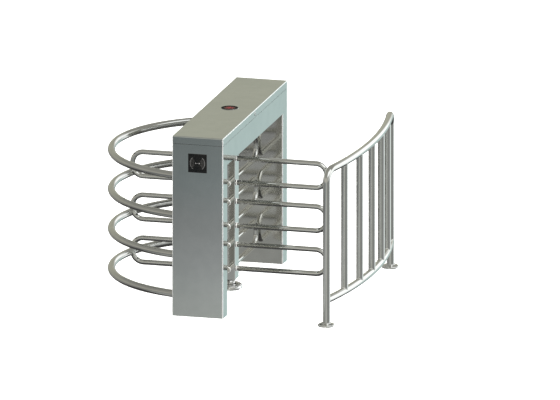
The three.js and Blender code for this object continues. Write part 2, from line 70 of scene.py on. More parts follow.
# Wraps one node socket, so that shader maths can be written as plain expressions
class Signal:
    def __init__(self, tree, socket=None):
        self.tree = tree
        self.socket = socket

    def grow(self, kind, settings=None, sockets=None, output=0):
        node = self.tree.nodes.new(kind)
        for key, value in (settings or {}).items():
            if key == "stops":
                ramp = node.color_ramp
                while len(ramp.elements) < len(value):
                    ramp.elements.new(0.5)
                for element, (place, colour) in zip(ramp.elements, value):
                    element.position = place
                    element.color = (*colour, 1)
            else:
                setattr(node, key, value)
        for key, value in (sockets or {}).items():
            if isinstance(value, Signal):
                self.tree.links.new(value.socket, node.inputs[key])
            else:
                node.inputs[key].default_value = value
        return Signal(self.tree, node.outputs[output] if len(node.outputs) else None)

    def maths(self, operation, first, second=0.0, clamp=False):
        return self.grow("ShaderNodeMath", {"operation": operation, "use_clamp": clamp}, {0: first, 1: second})

    def __add__(self, other):
        return self.maths("ADD", self, other)

    def __radd__(self, other):
        return self.maths("ADD", other, self)

    def __sub__(self, other):
        return self.maths("SUBTRACT", self, other)

    def __rsub__(self, other):
        return self.maths("SUBTRACT", other, self)

    def __mul__(self, other):
        return self.maths("MULTIPLY", self, other)

    def __rmul__(self, other):
        return self.maths("MULTIPLY", other, self)

    def __truediv__(self, other):
        return self.maths("DIVIDE", self, other)

    def clampLow(self, floor):
        return self.maths("MAXIMUM", self, floor)

    def clamped(self):
        return self.maths("ADD", self, 0.0, clamp=True)

    # 0 below low, 1 above high, smooth between
    def step(self, low, high):
        return self.grow(
            "ShaderNodeMapRange",
            {"interpolation_type": "SMOOTHSTEP"},
            {"Value": self, "From Min": low, "From Max": high},
        )

    def part(self, axis):
        return self.grow("ShaderNodeSeparateXYZ", {}, {"Vector": self}, output=axis)

    def ramp(self, stops):
        return self.grow("ShaderNodeValToRGB", {"stops": stops}, {"Fac": self})

    def blendColours(self, low, high):
        low = low if isinstance(low, Signal) else (*low, 1)
        high = high if isinstance(high, Signal) else (*high, 1)
        return self.grow(
            "ShaderNodeMix",
            {"data_type": "RGBA"},
            {"Factor": self, 6: low, 7: high},
            output=2,
        )


def openTree(name):
    material = bpy.data.materials.new(name)
    material.use_nodes = True
    material.node_tree.nodes.clear()
    return material, Signal(material.node_tree)


def closeTree(start, shader):
    start.grow("ShaderNodeOutputMaterial", {}, {"Surface": shader})


def principled(start, sockets):
    closeTree(start, start.grow("ShaderNodeBsdfPrincipled", {}, sockets))


def surfacePlace(start, scale=(1, 1, 1)):
    place = start.grow("ShaderNodeTexCoord", output="Object")
    return start.grow("ShaderNodeMapping", {}, {"Vector": place, "Scale": scale})


def noise(start, place, scale, detail=3.0, roughness=0.5):
    return start.grow(
        "ShaderNodeTexNoise", {}, {"Vector": place, "Scale": scale, "Detail": detail, "Roughness": roughness}
    )


def bump(start, strength, depth, height):
    return start.grow("ShaderNodeBump", {}, {"Strength": strength, "Distance": depth, "Height": height})


# Steels: colour range, grain stretched along the brushing, how rough; metal is below 1 on the bends and weld beads,
# whose pale colour lit by the lamps paints a highlight
steelLooks = {
    "legSheet": {"pale": (0.72, 0.745, 0.73), "deep": (0.66, 0.69, 0.675), "grain": (420, 420, 9),
                 "roughness": 0.075, "grainRoughness": 0.05, "smudge": 0.05, "bump": 0.035},
    # a darker, warmer copy of the leg sheet for the faces inside the passage: painted shade of the passage
    "passagePaintedShadeSheet": {"pale": (0.74, 0.735, 0.70), "deep": (0.66, 0.655, 0.62), "grain": (420, 420, 9),
                     "roughness": 0.085, "grainRoughness": 0.05, "smudge": 0.05, "bump": 0.035},
    "bentTube": {"pale": (0.80, 0.80, 0.775), "deep": (0.74, 0.74, 0.715), "grain": (70, 70, 70),
                 "roughness": 0.06, "grainRoughness": 0.03, "smudge": 0.04, "bump": 0.02},
    "hoopTube": {"pale": (0.70, 0.70, 0.68), "deep": (0.62, 0.62, 0.60), "grain": (90, 90, 90),
                 "roughness": 0.10, "grainRoughness": 0.05, "smudge": 0.05, "bump": 0.03},
    "columnTube": {"pale": (0.86, 0.855, 0.84), "deep": (0.79, 0.785, 0.77), "grain": (420, 420, 9),
                   "roughness": 0.07, "grainRoughness": 0.04, "smudge": 0.04, "bump": 0.03},
    "brightTurned": {"pale": (0.86, 0.86, 0.85), "deep": (0.78, 0.78, 0.77), "grain": (30, 30, 900),
                     "roughness": 0.045, "grainRoughness": 0.03, "smudge": 0.03, "bump": 0.02},
    "machinedSteel": {"pale": (0.50, 0.50, 0.50), "deep": (0.36, 0.36, 0.37), "grain": (260, 260, 40),
                      "roughness": 0.34, "grainRoughness": 0.16, "smudge": 0.14, "bump": 0.12},
    # weld beads: real rougher beads, with a pale part-metal colour that paints bright highlight dots at the welds
    "weldBeadPaintedHighlight": {"pale": (0.93, 0.93, 0.91), "deep": (0.80, 0.79, 0.77), "grain": (160, 160, 160),
                 "roughness": 0.28, "grainRoughness": 0.12, "smudge": 0.12, "bump": 0.25, "metal": 0.6},
    # pale, part-metal steel on the long top bends of the lid: painted highlight line along the bend
    "bendPaintedHighlight": {"pale": (0.95, 0.95, 0.94), "deep": (0.86, 0.86, 0.85), "grain": (300, 300, 12),
                   "roughness": 0.36, "grainRoughness": 0.08, "smudge": 0.06, "bump": 0.04, "metal": 0.35},
    "zincCase": {"pale": (0.62, 0.63, 0.64), "deep": (0.48, 0.49, 0.51), "grain": (38, 38, 38),
                 "roughness": 0.38, "grainRoughness": 0.2, "smudge": 0.16, "bump": 0.05},
}
steelLooks["bridgeSheet"] = {**steelLooks["legSheet"], "grain": (420, 9, 420)}
# the same painted highlight, with more metal, on the upright corner bends
steelLooks["cornerPaintedHighlight"] = {**steelLooks["bendPaintedHighlight"], "metal": 0.76}
steelPattern = {"cloud": 4.5, "wipe": 19.0, "cloudShare": 0.6, "spread": (0.3, 0.7), "dent": 0.0004}


def steelFinish(name):
    look = steelLooks[name]
    material, start = openTree(name)
    place = surfacePlace(start)
    grain = noise(start, surfacePlace(start, look["grain"]), 1.0, 4.0, 0.6)
    cloud = noise(start, place, steelPattern["cloud"], 4.0, 0.55)
    wipe = noise(start, place, steelPattern["wipe"])
    rough = (
        look["roughness"]
        + (grain - 0.5) * look["grainRoughness"]
        + (cloud - 0.45).clamped() * look["smudge"]
    )
    share = steelPattern["cloudShare"]
    mask = (cloud * share + wipe * (1 - share)).step(*steelPattern["spread"])
    dent = bump(start, look["bump"], steelPattern["dent"], grain)
    principled(start, {
        "Base Color": mask.blendColours(look["deep"], look["pale"]), "Metallic": look.get("metal", 1.0),
        "Roughness": rough, "Normal": dent,
    })
    return material


plasticLooks = {
    "readerGlass": {"pale": (0.005, 0.0045, 0.004), "deep": (0.002, 0.002, 0.002), "scale": 26,
                    "roughness": 0.09, "vary": 0.05, "bump": 0.02},
    "blackPlastic": {"pale": (0.012, 0.012, 0.013), "deep": (0.005, 0.005, 0.006), "scale": 900,
                     "roughness": 0.42, "vary": 0.12, "bump": 0.25},
    "readerMark": {"pale": (0.085, 0.083, 0.08), "deep": (0.06, 0.058, 0.055), "scale": 300,
                   "roughness": 0.4, "vary": 0.1, "bump": 0.05},
    "readerMarkDim": {"pale": (0.036, 0.034, 0.031), "deep": (0.024, 0.022, 0.02), "scale": 300,
                      "roughness": 0.45, "vary": 0.1, "bump": 0.05},
    "readerDot": {"pale": (0.17, 0.165, 0.16), "deep": (0.12, 0.117, 0.11), "scale": 300,
                  "roughness": 0.4, "vary": 0.1, "bump": 0.05},
    "bezelPlastic": {"pale": (0.0035, 0.0035, 0.004), "deep": (0.002, 0.002, 0.002), "scale": 700,
                     "roughness": 0.5, "vary": 0.1, "bump": 0.15, "shine": 0.12},
    "sealRubber": {"pale": (0.03, 0.03, 0.03), "deep": (0.012, 0.012, 0.012), "scale": 500,
                   "roughness": 0.7, "vary": 0.15, "bump": 0.3},
    "boardGreen": {"pale": (0.035, 0.20, 0.10), "deep": (0.015, 0.11, 0.055), "scale": 120,
                   "roughness": 0.38, "vary": 0.15, "coat": 0.3, "bump": 0.15},
    "terminalBlue": {"pale": (0.05, 0.16, 0.42), "deep": (0.03, 0.10, 0.30), "scale": 300,
                     "roughness": 0.45, "vary": 0.1, "bump": 0.1},
}
plasticPattern = {"cloud": 12.0, "spread": (0.3, 0.7), "dent": 0.0002}


def plasticFinish(name):
    look = plasticLooks[name]
    material, start = openTree(name)
    place = surfacePlace(start)
    speck = noise(start, place, look["scale"])
    cloud = noise(start, place, plasticPattern["cloud"], 2.0)
    mask = (speck * 0.5 + cloud * 0.5).step(*plasticPattern["spread"])
    principled(start, {
        "Base Color": mask.blendColours(look["deep"], look["pale"]),
        "Roughness": look["roughness"] + (cloud - 0.5) * look["vary"], "Coat Weight": look.get("coat", 0.0),
        "Normal": bump(start, look["bump"], plasticPattern["dent"], speck),
        "Specular IOR Level": look.get("shine", 0.5),
    })
    return material


copperLook = {"pale": (0.62, 0.27, 0.11), "deep": (0.30, 0.11, 0.05), "bands": 111.465, "metal": 0.7,
              "roughness": 0.36, "vary": 0.15, "bump": 0.6, "dent": 0.0005}


# Enamelled wire laid side by side round the coil
def copperFinish():
    material, start = openTree("coilWinding")
    place = surfacePlace(start)
    wire = start.grow(
        "ShaderNodeTexWave",
        {"wave_type": "BANDS", "bands_direction": "Y", "wave_profile": "SIN"},
        {"Vector": place, "Scale": copperLook["bands"], "Distortion": 0.4, "Detail": 1.0},
    )
    cloud = noise(start, place, 60.0)
    colour = (wire * 0.7 + cloud * 0.3).clamped().blendColours(copperLook["deep"], copperLook["pale"])
    principled(start, {
        "Base Color": colour, "Metallic": copperLook["metal"],
        "Roughness": copperLook["roughness"] + cloud * copperLook["vary"],
        "Normal": bump(start, copperLook["bump"], copperLook["dent"], wire),
    })
    return material


lensLook = {"pale": (0.052, 0.002, 0.003), "deep": (0.02, 0.001, 0.0015), "glow": (0.10, 0.0, 0.003),
            "strength": 0.22, "cells": 260.0, "cloud": 40.0, "roughness": 0.16, "vary": 0.08, "shine": 0.1}
dotLook = {"deep": (0.20, 0.012, 0.02), "glow": (0.27, 0.018, 0.03), "strength": 0.5, "cloud": 700.0,
           "roughness": 0.3, "vary": 0.1, "shine": 0.08}


# Moulded prisms in a regular grid, faintly lit from below
def lensFinish():
    material, start = openTree("redLens")
    cells = start.grow(
        "ShaderNodeTexVoronoi", {"feature": "F1"},
        {"Vector": surfacePlace(start), "Scale": lensLook["cells"], "Randomness": 0.0},
    )
    cloud = noise(start, surfacePlace(start), lensLook["cloud"], 2.0)
    colour = (cells * 1.4 + cloud * 0.2).clamped().blendColours(lensLook["pale"], lensLook["deep"])
    principled(start, {
        "Base Color": colour, "Roughness": lensLook["roughness"] + cloud * lensLook["vary"],
        "Specular IOR Level": lensLook["shine"], "Emission Strength": lensLook["strength"],
        "Emission Color": (cells * 2.0).clamped().blendColours(lensLook["glow"], lensLook["deep"]),
    })
    return material


def dotFinish():
    material, start = openTree("ledDot")
    cloud = noise(start, surfacePlace(start), dotLook["cloud"], 2.0)
    colour = cloud.blendColours(dotLook["deep"], dotLook["glow"])
    principled(start, {
        "Base Color": colour, "Roughness": dotLook["roughness"] + cloud * dotLook["vary"],
        "Specular IOR Level": dotLook["shine"], "Emission Color": colour, "Emission Strength": dotLook["strength"],
    })
    return material


finishes = {name: steelFinish(name) for name in steelLooks}
finishes.update({name: plasticFinish(name) for name in plasticLooks})
finishes["coilWinding"] = copperFinish()
finishes["redLens"] = lensFinish()
finishes["ledDot"] = dotFinish()
print("finishes made:", len(finishes))


def middle(node):
    low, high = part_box(node)
    return (low + high) / 2


def placePiece(name, bm, body, finishNames, nodes=(), sharp=38, recalc=True):
    if recalc:
        bmesh.ops.recalc_face_normals(bm, faces=bm.faces)
    mesh = bpy.data.meshes.new(name)
    bm.to_mesh(mesh)
    bm.free()
    for polygon in mesh.polygons:
        polygon.use_smooth = True
    mesh.set_sharp_from_angle(angle=math.radians(sharp))
    for finishName in finishNames:
        mesh.materials.append(finishes[finishName])
    piece = bpy.data.objects.new(name, mesh)
    turnstileScene.collection.objects.link(piece)
    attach(piece, body)
    if nodes:
        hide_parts(*nodes)
    return piece


def cubeBetween(bm, low, high):
    size = high - low
    made = bmesh.ops.create_cube(
        bm, size=1, matrix=Matrix.Translation((low + high) / 2) @ Matrix.Diagonal((*size, 1))
    )
    return made["verts"]


def edgesOf(verts):
    chosen = set(verts)
    return [e for v in verts for e in v.link_edges if e.other_vert(v) in chosen and e.verts[0] is v]


def vertsOf(edges):
    return list({v for e in edges for v in e.verts})


def spinRound(bm, geom, centre, axis, angle, steps, merge=False):
    return bmesh.ops.spin(
        bm, geom=geom, cent=centre, axis=axis, dvec=(0, 0, 0), angle=angle,
        steps=steps, use_merge=merge, use_normal_flip=False, use_duplicate=False,
    )["geom_last"]


def roundEdges(bm, edges, radius, segments):
    bmesh.ops.bevel(
        bm, geom=edges, offset=radius, offset_type="OFFSET", segments=segments,
        profile=0.5, affect="EDGES", material=-1,
    )


def cutPlane(bm, point, normal, clearOuter=False):
    bmesh.ops.bisect_plane(
        bm, geom=bm.verts[:] + bm.edges[:] + bm.faces[:], dist=1e-7,
        plane_co=point, plane_no=normal, clear_outer=clearOuter,
    )


def openRing(bm, centre, heading, radius, sides):
    turn = heading.to_track_quat("Z", "Y").to_matrix().to_4x4()
    made = bmesh.ops.create_circle(
        bm, cap_ends=False, segments=sides, radius=radius, matrix=Matrix.Translation(centre) @ turn
    )
    return edgesOf(made["verts"])


def runStraight(bm, edges, travel, steps=1):
    for _ in range(steps):
        made = bmesh.ops.extrude_edge_only(bm, edges=edges)["geom"]
        verts = [g for g in made if isinstance(g, bmesh.types.BMVert)]
        for face in (g for g in made if isinstance(g, bmesh.types.BMFace)):
            face.material_index = 0
        bmesh.ops.translate(bm, verts=verts, vec=travel / steps)
        edges = edgesOf(verts)
    return edges


def runBend(bm, edges, centre, axis, angle, steps):
    before = set(bm.faces)
    last = spinRound(bm, vertsOf(edges) + edges, centre, axis, angle, steps)
    for face in set(bm.faces) - before:
        face.material_index = 0
    return [g for g in last if isinstance(g, bmesh.types.BMEdge)]


# A flared bead where a tube end is welded to a flat face
def weldFlare(bm, edges, travel, grow):
    before = set(bm.faces)
    verts = vertsOf(edges)
    start = sum((v.co for v in verts), Vector()) / len(verts)
    made = bmesh.ops.extrude_edge_only(bm, edges=edges)["geom"]
    fresh = [g for g in made if isinstance(g, bmesh.types.BMVert)]
    bmesh.ops.translate(bm, verts=fresh, vec=travel)
    bmesh.ops.scale(bm, verts=fresh, vec=(grow, grow, grow), space=Matrix.Translation(-(start + travel)))
    for face in set(bm.faces) - before:
        face.material_index = 1


def capHoles(bm):
    bmesh.ops.holes_fill(bm, edges=[e for e in bm.edges if e.is_boundary], sides=0)


# Turns a profile of (radius, height) points, in millimetres, about an upright axis
def turnProfile(bm, points, foot, steps):
    verts = [bm.verts.new(foot + Vector((radius * mm, 0, height * mm))) for radius, height in points]
    edges = [bm.edges.new((verts[k], verts[k + 1])) for k in range(len(verts) - 1)]
    spinRound(bm, verts + edges, foot, upward, 2 * math.pi, steps, merge=True)
    bmesh.ops.remove_doubles(bm, verts=bm.verts, dist=1e-6)


# Cabinet: folded sheet with rounded bends
cabinet = {
    "sheet": 2 * mm, "bend": 6 * mm, "lidBend": 5.5 * mm, "bendSegments": 8,
    "edge": 0.25 * mm, "edgeAngle": 50, "edgeSegments": 2,
    "lip": 20 * mm, "lipDrop": 4 * mm, "shadowGap": 1.6 * mm, "underBend": 3 * mm, "underSegments": 4,
    "windowInset": 5 * mm, "notch": (8 * mm, 44 * mm), "notchEdge": 4 * mm, "hingeSide": 5 * mm,
    "hingeAbove": 0.4 * mm, "near": 1e-5,
}


def sheetModifiers(piece, thickness=None):
    wall = piece.modifiers.new("sheetThickness", "SOLIDIFY")
    wall.thickness = thickness or cabinet["sheet"]
    wall.offset = -1
    wall.use_even_offset = True
    soft = piece.modifiers.new("brokenEdge", "BEVEL")
    soft.width = cabinet["edge"]
    soft.segments = cabinet["edgeSegments"]
    soft.limit_method = "ANGLE"
    soft.angle_limit = math.radians(cabinet["edgeAngle"])
    flat = piece.modifiers.new("flatFaces", "WEIGHTED_NORMAL")
    flat.keep_sharp = True
    flat.weight = 100


def boxWithoutEnds(low, high, openDirections):
    bm = bmesh.new()
    cubeBetween(bm, low, high)
    gone = [f for f in bm.faces if any(f.normal.dot(d) > 0.9 for d in openDirections)]
    bmesh.ops.delete(bm, geom=gone, context="FACES_ONLY")
    return bm


def uprightEdges(bm):
    return [e for e in bm.edges if abs((e.verts[0].co - e.verts[1].co).normalized().z) > 0.99]


def slanted(normal):
    return max(abs(normal.x), abs(normal.y)) < 0.97


def buildLeg(name, node, window=None):
    low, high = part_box(node)
    bm = boxWithoutEnds(low, high, [upward, -upward])
    roundEdges(bm, uprightEdges(bm), cabinet["bend"], cabinet["bendSegments"])
    if window:
        windowLow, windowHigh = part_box(window)
        inset = cabinet["windowInset"]
        for x in (windowLow.x + inset, windowHigh.x - inset):
            cutPlane(bm, (x, 0, 0), (1, 0, 0))
        for z in (windowLow.z + inset, windowHigh.z - inset):
            cutPlane(bm, (0, 0, z), (0, 0, 1))
        hole = []
        for f in bm.faces:
            at = f.calc_center_median()
            inWidth = windowLow.x + inset < at.x < windowHigh.x - inset
            inHeight = windowLow.z + inset < at.z < windowHigh.z - inset
            if f.normal.y < -0.9 and inWidth and inHeight:
                hole.append(f)
        bmesh.ops.delete(bm, geom=hole, context="FACES")
    # faces towards the passage take the darker, warmer steel that paints the passage's shade
    inward = Vector((0, -1 if low.y > 0 else 1, 0))
    # corner bends take the pale steel that paints a highlight line down each corner
    for f in bm.faces:
        f.material_index = 2 if slanted(f.normal) else (1 if f.normal.dot(inward) > 0.9 else 0)
    looks = ["legSheet", "passagePaintedShadeSheet", "cornerPaintedHighlight"]
    sheetModifiers(placePiece(name, bm, "housing", looks, [node], sharp=30))


buildLeg("frontLegShell", "front_leg", "reader_window")
buildLeg("rearLegShell", "rear_leg")


def buildBridge():
    low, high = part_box("beam_housing")
    # its sides run on over the rounded corners of the legs, so no groove is left between them
    low.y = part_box("front_leg")[1].y - cabinet["bend"]
    high.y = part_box("rear_leg")[0].y + cabinet["bend"]
    near, bend = cabinet["near"], cabinet["underBend"]
    bm = boxWithoutEnds(low, high, [upward, along, -along])
    under = [e for e in bm.edges if len(e.link_faces) == 2
             and all(abs(v.co.z - low.z) < near for v in e.verts)]
    roundEdges(bm, under, bend, cabinet["underSegments"])
    rim = [e for e in bm.edges if all(v.co.z > high.z - near and v.co.x > 0 for v in e.verts)]
    rim = runStraight(bm, rim, -outward * bend)
    runStraight(bm, rim, outward * (bend - cabinet["lip"]))
    # the cam of the lock drops through this notch in the lip
    notchStart, notchEnd = cabinet["notch"]
    for y in cabinet["notch"]:
        cutPlane(bm, (0, y, 0), (0, 1, 0))
    notch = []
    for f in bm.faces:
        at = f.calc_center_median()
        onLip = abs(f.normal.z) > 0.9 and at.z > high.z - near and at.x < high.x - cabinet["notchEdge"]
        if onLip and notchStart < at.y < notchEnd:
            notch.append(f)
    bmesh.ops.delete(bm, geom=notch, context="FACES")
    for v in bm.verts:
        if v.co.x < 0 and v.co.z > high.z - near:
            v.co.z = high.z - cabinet["lipDrop"]
    looks = ["bridgeSheet"]
    sheetModifiers(placePiece("bridgeShell", bm, "housing", looks, ["beam_housing"], sharp=30))


buildBridge()


def buildLid():
    low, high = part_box("lid_cover")
    legLow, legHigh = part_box("front_leg")
    low = Vector((legLow.x, low.y, legHigh.z + cabinet["shadowGap"]))
    high = Vector((legHigh.x, high.y, high.z))
    bm = boxWithoutEnds(low, high, [-upward])
    bends = [e for e in bm.edges if len(e.link_faces) == 2]
    roundEdges(bm, bends, cabinet["lidBend"], cabinet["bendSegments"])
    # the long top bends and the upright corner bends take pale steels that paint highlight lines along them
    for f in bm.faces:
        upright = abs(f.normal.z) < 0.1 and slanted(f.normal)
        crown = 0.2 < f.normal.z < 0.35 and abs(f.normal.y) < 0.3
        f.material_index = 2 if upright else (1 if crown else 0)
    # relief in the cage side, where the hinge stands
    hingeLow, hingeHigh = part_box("lid_hinge")
    clear = hingeHigh.z + cabinet["hingeAbove"]
    start, end = hingeLow.y - cabinet["hingeSide"], hingeHigh.y + cabinet["hingeSide"]
    cutPlane(bm, (0, 0, clear), (0, 0, 1))
    for y in (start, end):
        cutPlane(bm, (0, y, 0), (0, 1, 0))
    relief = []
    for f in bm.faces:
        at = f.calc_center_median()
        if at.x < low.x + cabinet["near"] and at.z < clear and start < at.y < end:
            relief.append(f)
    bmesh.ops.delete(bm, geom=relief, context="FACES")
    looks = ["bridgeSheet", "bendPaintedHighlight", "cornerPaintedHighlight"]
    sheetModifiers(placePiece("lidShell", bm, "lid", looks, ["lid_cover"], sharp=30))


buildLid()
print("cabinet built")


# Lid hinge: leaf, knuckles and pin on the bridge; the knuckles between them on the lid
hinge = {
    "knuckles": 5, "radius": 4 * mm, "pin": 2 * mm, "gap": 0.3 * mm, "sides": 28, "pinSides": 20,
    "leaf": 1.5 * mm, "leafDrop": 2 * mm, "tabFoot": 10 * mm, "tabTop": 16 * mm,
}


def buildHinge():
    low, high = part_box("lid_hinge")
    centreLine = Vector((low.x + hinge["radius"], 0, high.z - hinge["radius"]))
    pitch = (high.y - low.y) / hinge["knuckles"]
    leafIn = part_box("front_leg")[0].x + cabinet["sheet"] + hinge["gap"]
    leafOut = leafIn + hinge["leaf"]
    leafTop = centreLine.z - hinge["radius"] - hinge["leafDrop"]
    bodyHinge = bmesh.new()
    cubeBetween(bodyHinge, Vector((leafIn, low.y, low.z)), Vector((leafOut, high.y, leafTop)))
    lidHinge = bmesh.new()
    for k in range(hinge["knuckles"]):
        y0 = low.y + k * pitch + hinge["gap"]
        y1 = y0 + pitch - 2 * hinge["gap"]
        bm, tabX, tabLow, tabHigh = bodyHinge, leafIn, low.z + hinge["tabFoot"], centreLine.z
        if k % 2:
            bm, tabX = lidHinge, leafIn - cabinet["sheet"]
            tabLow, tabHigh = centreLine.z, centreLine.z + hinge["tabTop"]
        knuckleFoot = Vector((centreLine.x, y0, centreLine.z))
        knuckle = openRing(bm, knuckleFoot, along, hinge["radius"], hinge["sides"])
        runStraight(bm, knuckle, along * (y1 - y0))
        cubeBetween(bm, Vector((tabX, y0, tabLow)), Vector((leafOut, y1, tabHigh)))
    pinFoot = Vector((centreLine.x, low.y, centreLine.z))
    pin = openRing(bodyHinge, pinFoot, along, hinge["pin"], hinge["pinSides"])
    runStraight(bodyHinge, pin, along * (high.y - low.y))
    capHoles(bodyHinge)
    capHoles(lidHinge)
    placePiece("hingeLeaf", bodyHinge, "housing", ["machinedSteel"], ["lid_hinge"])
    placePiece("lidKnuckles", lidHinge, "lid", ["machinedSteel"], ())


buildHinge()

# Cage hoops: one bend about the rotor axis, flared where the ends are welded to the legs
hoops = {"tube": 20 * mm, "sides": 40, "steps": 120, "gap": 0.3 * mm, "overrun": 0.05, "flare": 4 * mm,
         "flareGrow": 1.13, "flareSpread": 0.25, "count": 4}


def buildHoop(number):
    node = "hoop_" + str(number)
    low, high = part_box(node)
    face = high.x + hoops["gap"]
    radius = -low.x - hoops["tube"]
    height = (low.z + high.z) / 2
    begin = math.acos(face / radius) - hoops["overrun"]
    bm = bmesh.new()
    at = Vector((math.cos(begin), math.sin(begin), 0))
    heading = Vector((-at.y, at.x, 0))
    edges = openRing(bm, at * radius + upward * height, heading, hoops["tube"], hoops["sides"])
    runBend(bm, edges, (0, 0, height), upward, 2 * math.pi - 2 * begin, hoops["steps"])
    cutPlane(bm, (face - hoops["flare"], 0, 0), (1, 0, 0), clearOuter=True)
    rims = [e for e in bm.edges if e.is_boundary]
    for side in (-1, 1):
        loop = [e for e in rims if e.verts[0].co.y * side > 0]
        spread = Vector((1, side * hoops["flareSpread"], 0)) * hoops["flare"]
        weldFlare(bm, loop, spread, hoops["flareGrow"])
    capHoles(bm)
    placePiece("cageHoop" + str(number), bm, "housing", ["hoopTube", "weldBeadPaintedHighlight"], [node])


for number in range(1, hoops["count"] + 1):
    buildHoop(number)
print("cage built")

# Guard: posts and top rail in one bent tube, bottom rail, upright bars and foot flanges
guard = {"tube": 20 * mm, "bar": 19 * mm, "corner": 65 * mm, "sides": 36, "railSteps": 60, "cornerSteps": 14,
         "postSteps": 6, "barSteps": 8, "bars": 5}
bead = {"reach": 1.04, "fit": 0.98, "lift": 0.5 * mm, "rise": 2.5 * mm, "taper": 0.9}
guardLow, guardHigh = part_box("guard_frame")
postY = guardHigh.y - guard["tube"]
postX = middle("guard_foot_front").x
bowX = guardHigh.x - guard["tube"]
bowRise = bowX - postX
bowRadius = (postY ** 2 + bowRise ** 2) / (2 * bowRise)
bowCentre = Vector((bowX - bowRadius, 0, 0))


def bowPoint(y, z):
    return Vector((bowCentre.x + math.sqrt(bowRadius ** 2 - y ** 2), y, z))


def buildGuardFrame():
    top = guardHigh.z - guard["tube"]
    corner, cornerSteps = guard["corner"], guard["cornerSteps"]
    reach = postY - corner
    turn = math.asin(reach / bowRadius)  # heading of the rail where the corner ends
    heading = Vector((math.sin(turn), math.cos(turn), 0))
    leaving = Vector((-math.sin(turn), math.cos(turn), 0))
    foot = bowPoint(-reach, top) - heading * corner
    post = upward * (top - corner - guardLow.z)
    bm = bmesh.new()
    edges = openRing(bm, Vector((foot.x, foot.y, guardLow.z)), upward, guard["tube"], guard["sides"])
    edges = runStraight(bm, edges, post, guard["postSteps"])
    pivot = foot + heading * corner - upward * corner
    edges = runBend(bm, edges, pivot, upward.cross(heading), math.pi / 2, cornerSteps)
    edges = runBend(bm, edges, bowCentre, upward, 2 * turn, guard["railSteps"])
    pivot = bowPoint(reach, top) - upward * corner
    edges = runBend(bm, edges, pivot, upward.cross(leaving), math.pi / 2, cornerSteps)
    runStraight(bm, edges, -post, guard["postSteps"])
    capHoles(bm)
    placePiece("guardFrame", bm, "housing", ["bentTube"], ["guard_frame"])


def buildBottomRail():
    height = middle("guard_bottom_rail").z
    turn = math.asin(postY / bowRadius)
    heading = Vector((math.sin(turn), math.cos(turn), 0))
    bm = bmesh.new()
    edges = openRing(bm, bowPoint(-postY, height), heading, guard["tube"], guard["sides"])
    runBend(bm, edges, (bowCentre.x, 0, height), upward, 2 * turn, guard["railSteps"])
    capHoles(bm)
    placePiece("guardBottomRail", bm, "housing", ["bentTube"], ["guard_bottom_rail"])


# A weld bead that follows the saddle where a bar meets a rail
def buildBead(bm, centre, z, way):
    ring = openRing(bm, Vector((centre.x, centre.y, z)), upward, guard["bar"] * bead["reach"], guard["sides"])
    for v in vertsOf(ring):
        across = (v.co.x - centre.x) / guard["tube"] * bead["fit"]
        v.co.z = z + way * (guard["tube"] * math.sqrt(max(0.0, 1 - across * across)) + bead["lift"])
    before = set(bm.faces)
    made = bmesh.ops.extrude_edge_only(bm, edges=ring)["geom"]
    fresh = [g for g in made if isinstance(g, bmesh.types.BMVert)]
    bmesh.ops.translate(bm, verts=fresh, vec=upward * way * bead["rise"])
    taper = (bead["taper"], bead["taper"], 1)
    bmesh.ops.scale(bm, verts=fresh, vec=taper, space=Matrix.Translation((-centre.x, -centre.y, 0)))
    for face in set(bm.faces) - before:
        face.material_index = 1


def buildGuardBar(number):
    node = "guard_bar_" + str(number)
    centre = middle(node)
    bottom = middle("guard_bottom_rail").z
    top = guardHigh.z - guard["tube"]
    bm = bmesh.new()
    edges = openRing(bm, Vector((centre.x, centre.y, bottom)), upward, guard["bar"], guard["sides"])
    runStraight(bm, edges, upward * (top - bottom), guard["barSteps"])
    capHoles(bm)
    for z, way in ((bottom, 1), (top, -1)):
        buildBead(bm, centre, z, way)
    placePiece("guardBar" + str(number), bm, "housing", ["bentTube", "weldBeadPaintedHighlight"], [node])


# (radius, height) in millimetres of the pressed flange, from its floor rim to its collar
guardFoot = {
    "profile": [(0, 0), (44.4, 0), (45, 0.6), (45, 8.0), (44.2, 10.2), (41.5, 12.2), (36, 14.2), (30.5, 15.7),
                (27.0, 16.6), (25.8, 17.4), (25.4, 18.8), (24.8, 19.7), (23.9, 20.0), (20.2, 20.0),
                (20.2, 14)],
    "steps": 96, "screw": 2.2, "screwSides": 16, "screwPlace": (24.6, 17.0), "screwOut": 1.2,
    "socket": (0.6, 0.8),
}


def buildGuardFoot(name, node):
    foot = Vector((middle(node).x, middle(node).y, 0))
    bm = bmesh.new()
    turnProfile(bm, guardFoot["profile"], foot, guardFoot["steps"])
    # grub screw in the collar
    reach, height = guardFoot["screwPlace"]
    shrink, depth = guardFoot["socket"]
    centre = foot + Vector((reach, 0, height)) * mm
    edges = openRing(bm, centre, outward, guardFoot["screw"] * mm, guardFoot["screwSides"])
    edges = runStraight(bm, edges, outward * guardFoot["screwOut"] * mm)
    bmesh.ops.scale(bm, verts=vertsOf(edges), vec=(1, shrink, shrink), space=Matrix.Translation(-centre))
    runStraight(bm, edges, -outward * depth * mm)
    capHoles(bm)
    placePiece(name, bm, "housing", ["brightTurned"], [node])


buildGuardFrame()
buildBottomRail()
for number in range(1, guard["bars"] + 1):
    buildGuardBar(number)
buildGuardFoot("guardFootFront", "guard_foot_front")
buildGuardFoot("guardFootRear", "guard_foot_rear")
print("guard built")

# Rotor: square column, turned foot and twelve hairpin arms
rotor = {"wall": 4 * mm, "corner": 5 * mm, "cornerSegments": 6}
arm = {"tube": 14 * mm, "bend": 58 * mm, "sides": 32, "steps": 10, "bendSteps": 14, "flare": 3.2 * mm,
       "flareGrow": 1.22, "gap": 0.3 * mm, "wings": 4, "levels": ("low", "mid", "top")}


